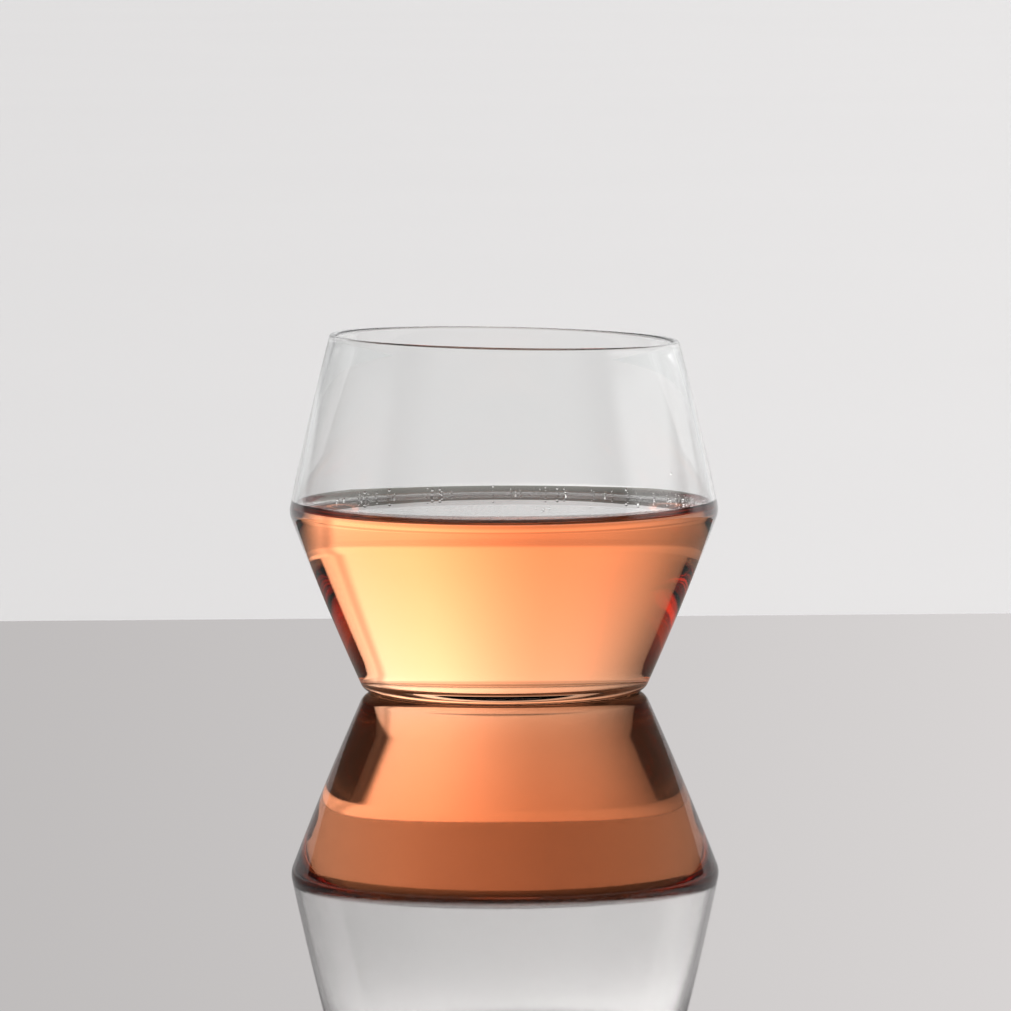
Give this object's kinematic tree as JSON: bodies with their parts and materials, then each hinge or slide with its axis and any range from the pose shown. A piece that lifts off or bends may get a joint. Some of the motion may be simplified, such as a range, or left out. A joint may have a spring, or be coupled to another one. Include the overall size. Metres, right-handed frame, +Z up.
{
  "type": "whisky tumbler",
  "caption": "Low whisky tumbler of thin clear glass that widens from a small foot to a rounded shoulder and leans in to a narrower rim, holding an amber-rose drink.",
  "frame": {"origin": "centre of the foot, on the surface that the glass stands on", "axes": "+Z up along the glass's axis; -Y towards the viewer of the picture; +X to the viewer's right, where the rim is lowest"},
  "size_m": [0.0902, 0.0902, 0.0756],
  "materials": {
    "clear_glass": "clear colourless blown glass, fire-polished",
    "amber_rose_drink": "clear amber-rose liquid"
  },
  "bodies": {
    "root": {"glass_tumbler": "clear_glass", "drink": "amber_rose_drink"}
  },
  "joints": []
}
